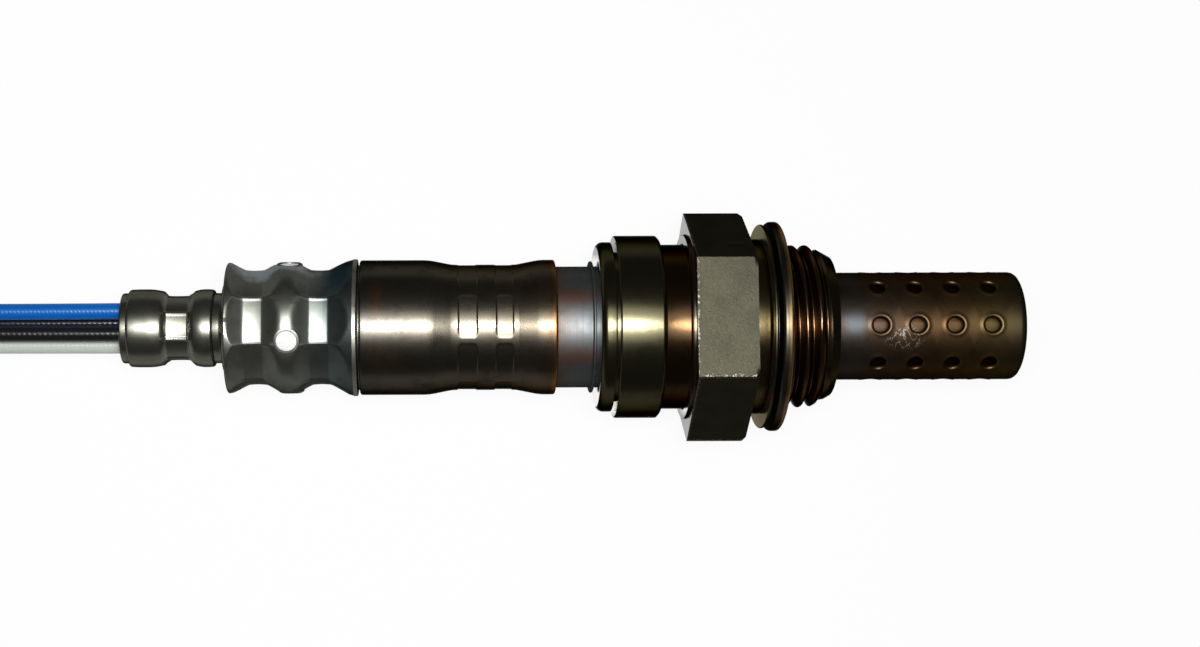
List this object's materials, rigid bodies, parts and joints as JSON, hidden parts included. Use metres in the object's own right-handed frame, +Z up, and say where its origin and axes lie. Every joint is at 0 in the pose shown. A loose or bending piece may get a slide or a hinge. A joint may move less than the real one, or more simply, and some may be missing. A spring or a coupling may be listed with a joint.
{
  "type": "exhaust oxygen sensor",
  "caption": "Screw-in exhaust oxygen sensor: hexagon housing with gasket and thread, perforated protector tube, crimped sleeve, vented rear cover, ferrule and wired lead.",
  "frame": {"origin": "on the sensor's axis in the plane where the gasket meets the exhaust boss", "axes": "+X along the sensor toward the gas tip, +Z up; the axis climbs 4.37 degrees toward the tip, as the sensor lies on its hexagon and its rear cover's rim"},
  "size_m": [0.254, 0.0434, 0.0233],
  "materials": {
    "housing_steel": "heat-tinted turned steel, matt grey on the hexagon",
    "gasket_steel": "folded sheet, dark bronze tint",
    "protector_steel": "drawn sheet, brown heat tint",
    "tube_steel": "fine turned lines, reddish brown tint",
    "sleeve_steel": "drawn tube, dark brown heat tint",
    "cover_steel": "satin grey drawn sheet",
    "contact_metal": "bright spring strip",
    "ceramic": "fired ceramic",
    "heater_ceramic": "smooth grey ceramic",
    "talc_powder": "pressed powder",
    "filter_white": "porous white sheet",
    "seal_rubber": "moulded rubber",
    "wire_blue": "smooth insulation",
    "wire_black": "smooth insulation",
    "wire_white": "smooth insulation",
    "lead_braid": "woven sleeving",
    "shrink_plastic": "shrunk tubing",
    "tie_plastic": "smooth strap",
    "plug_plastic": "fine moulded grain"
  },
  "bodies": {
    "root": {"housing": "housing_steel", "gasket": "gasket_steel", "outer_protector": "protector_steel", "inner_protector": "protector_steel", "sensing_element": "ceramic", "packing_washer": "contact_metal", "talc_ring": "talc_powder", "alumina_ring": "ceramic", "crimp_ring": "contact_metal", "front_tube": "tube_steel", "heater_rod": "heater_ceramic", "ground_contact": "contact_metal", "signal_contact": "contact_metal", "heater_contact_a": "contact_metal", "heater_contact_b": "contact_metal", "insulator": "ceramic", "retainer": "contact_metal", "terminal_blue": "contact_metal", "terminal_black_upper": "contact_metal", "terminal_white": "contact_metal", "terminal_black_lower": "contact_metal", "main_sleeve": "sleeve_steel", "rear_cover": "cover_steel", "filter_ring": "filter_white", "vented_cover": "cover_steel", "grommet": "seal_rubber", "ferrule": "cover_steel", "wire_blue": "wire_blue", "wire_black_upper": "wire_black", "wire_white": "wire_white", "wire_black_lower": "wire_black", "lead_sleeve": "lead_braid", "sleeve_collar": "shrink_plastic", "hank_tie": "tie_plastic", "plug_body": "plug_plastic", "plug_seal": "seal_rubber", "plug_pins": "contact_metal", "plug_lock": "plug_plastic"}
  },
  "joints": []
}
